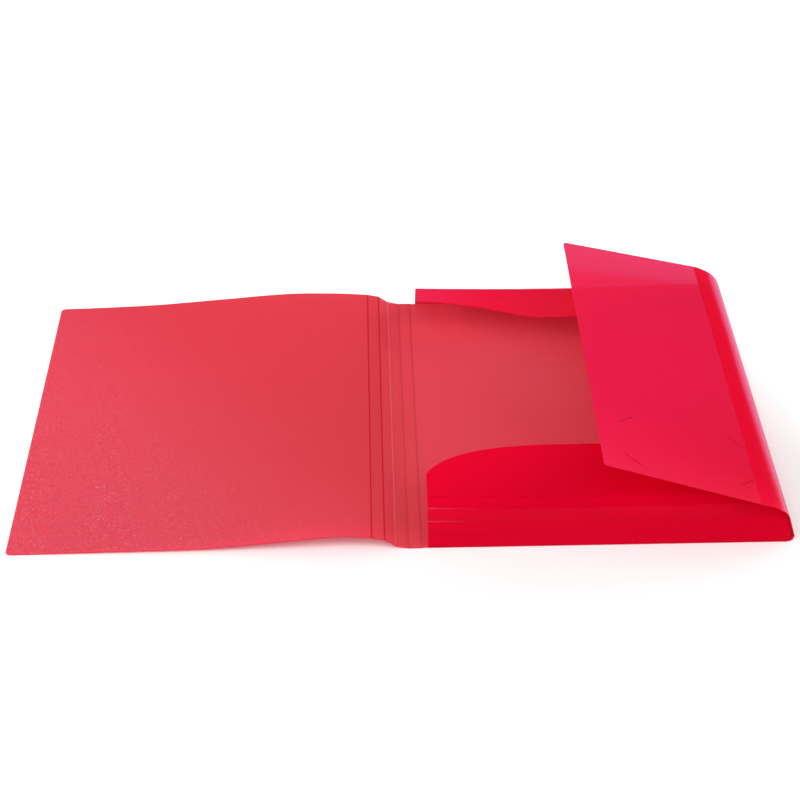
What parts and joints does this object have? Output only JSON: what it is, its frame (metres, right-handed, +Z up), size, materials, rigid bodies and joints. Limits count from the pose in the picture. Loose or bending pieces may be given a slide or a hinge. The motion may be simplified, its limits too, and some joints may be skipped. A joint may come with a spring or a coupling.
{
  "type": "three-flap document folder",
  "caption": "Open three-flap document folder of creased plastic sheet: front cover, multi-crease spine, back panel, and near, far and side flaps folded over the back panel.",
  "frame": {"origin": "middle of the back panel's resting face, at table level", "axes": "+X from the spine to the side flap, +Y from the near flap to the far flap, +Z up from the table"},
  "size_m": [0.5124, 0.32, 0.057],
  "materials": {
    "matt_inner_side": "finely sanded, translucent",
    "gloss_outer_side": "smooth, translucent"
  },
  "bodies": {
    "back_panel": {"back_panel": "matt_inner_side"},
    "spine": {"spine_strip_1": "matt_inner_side", "spine_strip_2": "matt_inner_side", "spine_strip_3": "matt_inner_side", "spine_strip_4": "matt_inner_side"},
    "front_cover": {"front_cover": "matt_inner_side"},
    "side_strip_1": {"side_strip_1": "gloss_outer_side"},
    "side_strip_2": {"side_strip_2": "gloss_outer_side"},
    "side_strip_3": {"side_strip_3": "gloss_outer_side"},
    "side_strip_4": {"side_strip_4": "gloss_outer_side"},
    "side_flap": {"side_flap": "gloss_outer_side"},
    "bottom_strip_1": {"bottom_strip_1": "gloss_outer_side"},
    "bottom_strip_2": {"bottom_strip_2": "gloss_outer_side"},
    "bottom_strip_3": {"bottom_strip_3": "gloss_outer_side"},
    "bottom_strip_4": {"bottom_strip_4": "gloss_outer_side"},
    "bottom_flap": {"bottom_flap": "gloss_outer_side"},
    "top_strip_1": {"top_strip_1": "gloss_outer_side"},
    "top_strip_2": {"top_strip_2": "gloss_outer_side"},
    "top_strip_3": {"top_strip_3": "gloss_outer_side"},
    "top_strip_4": {"top_strip_4": "gloss_outer_side"},
    "top_flap": {"top_flap": "gloss_outer_side"}
  },
  "joints": [
    {"name": "cover_close", "type": "hinge", "parent": "back_panel", "child": "spine", "pos_m": [-0.1215, 0, 0.00025], "axis": [0, 1, 0], "range_deg": [0, 84]},
    {"name": "cover_crease", "type": "hinge", "parent": "spine", "child": "front_cover", "pos_m": [-0.15393, 0, 0.00882], "axis": [0, 1, 0], "range_deg": [0, 99.17]},
    {"name": "flaps_open", "type": "hinge", "parent": "back_panel", "child": "side_strip_1", "pos_m": [0.1215, 0, 0.00025], "axis": [0, 1, 0], "range_deg": [0, 106]},
    {"name": "side_crease_b", "type": "hinge", "parent": "side_strip_1", "child": "side_strip_2", "pos_m": [0.11877, 0, 0.00977], "axis": [0, -1, 0], "range_deg": [0, 13.66]},
    {"name": "side_crease_c", "type": "hinge", "parent": "side_strip_2", "child": "side_strip_3", "pos_m": [0.11604, 0, 0.01928], "axis": [0, 1, 0], "range_deg": [0, 34.05]},
    {"name": "side_crease_d", "type": "hinge", "parent": "side_strip_3", "child": "side_strip_4", "pos_m": [0.10846, 0, 0.02565], "axis": [0, 1, 0], "range_deg": [0, 20.05]},
    {"name": "side_crease_e", "type": "hinge", "parent": "side_strip_4", "child": "side_flap", "pos_m": [0.09916, 0, 0.02903], "axis": [0, 1, 0], "range_deg": [0, 5.05]},
    {"name": "bottom_crease_a", "type": "hinge", "parent": "back_panel", "child": "bottom_strip_1", "pos_m": [0, -0.16, 0.00025], "axis": [1, 0, 0], "range_deg": [0, 122.05]},
    {"name": "bottom_crease_b", "type": "hinge", "parent": "bottom_strip_1", "child": "bottom_strip_2", "pos_m": [0, -0.1555, 0.00746], "axis": [-1, 0, 0], "range_deg": [0, 14.83]},
    {"name": "bottom_crease_c", "type": "hinge", "parent": "bottom_strip_2", "child": "bottom_strip_3", "pos_m": [0, -0.15099, 0.01467], "axis": [1, 0, 0], "range_deg": [0, 4.05]},
    {"name": "bottom_crease_d", "type": "hinge", "parent": "bottom_strip_3", "child": "bottom_strip_4", "pos_m": [0, -0.146, 0.02154], "axis": [1, 0, 0], "range_deg": [0, 27.05]},
    {"name": "bottom_crease_e", "type": "hinge", "parent": "bottom_strip_4", "child": "bottom_flap", "pos_m": [0, -0.13842, 0.0254], "axis": [1, 0, 0], "range_deg": [0, 20.55]},
    {"name": "top_crease_a", "type": "hinge", "parent": "back_panel", "child": "top_strip_1", "pos_m": [0, 0.16, 0.00025], "axis": [-1, 0, 0], "range_deg": [0, 122.05]},
    {"name": "top_crease_b", "type": "hinge", "parent": "top_strip_1", "child": "top_strip_2", "pos_m": [0, 0.1555, 0.00746], "axis": [1, 0, 0], "range_deg": [0, 14.83]},
    {"name": "top_crease_c", "type": "hinge", "parent": "top_strip_2", "child": "top_strip_3", "pos_m": [0, 0.15099, 0.01467], "axis": [-1, 0, 0], "range_deg": [0, 4.05]},
    {"name": "top_crease_d", "type": "hinge", "parent": "top_strip_3", "child": "top_strip_4", "pos_m": [0, 0.146, 0.02154], "axis": [-1, 0, 0], "range_deg": [0, 27.05]},
    {"name": "top_crease_e", "type": "hinge", "parent": "top_strip_4", "child": "top_flap", "pos_m": [0, 0.13842, 0.0254], "axis": [-1, 0, 0], "range_deg": [0, 20.55]}
  ],
  "couplings": [
    {"joint": "cover_crease", "follows": "cover_close", "ratio": 1.18},
    {"joint": "side_crease_b", "follows": "cover_close", "ratio": 0.162},
    {"joint": "side_crease_c", "follows": "flaps_open", "ratio": 0.32076},
    {"joint": "side_crease_d", "follows": "flaps_open", "ratio": 0.18868},
    {"joint": "side_crease_e", "follows": "flaps_open", "ratio": 0.04717},
    {"joint": "bottom_crease_a", "follows": "flaps_open", "ratio": 1.1509},
    {"joint": "bottom_crease_b", "follows": "cover_close", "ratio": 0.176},
    {"joint": "bottom_crease_c", "follows": "flaps_open", "ratio": 0.037736},
    {"joint": "bottom_crease_d", "follows": "flaps_open", "ratio": 0.25472},
    {"joint": "bottom_crease_e", "follows": "flaps_open", "ratio": 0.1934},
    {"joint": "top_crease_a", "follows": "flaps_open", "ratio": 1.1509},
    {"joint": "top_crease_b", "follows": "cover_close", "ratio": 0.176},
    {"joint": "top_crease_c", "follows": "flaps_open", "ratio": 0.037736},
    {"joint": "top_crease_d", "follows": "flaps_open", "ratio": 0.25472},
    {"joint": "top_crease_e", "follows": "flaps_open", "ratio": 0.1934}
  ]
}
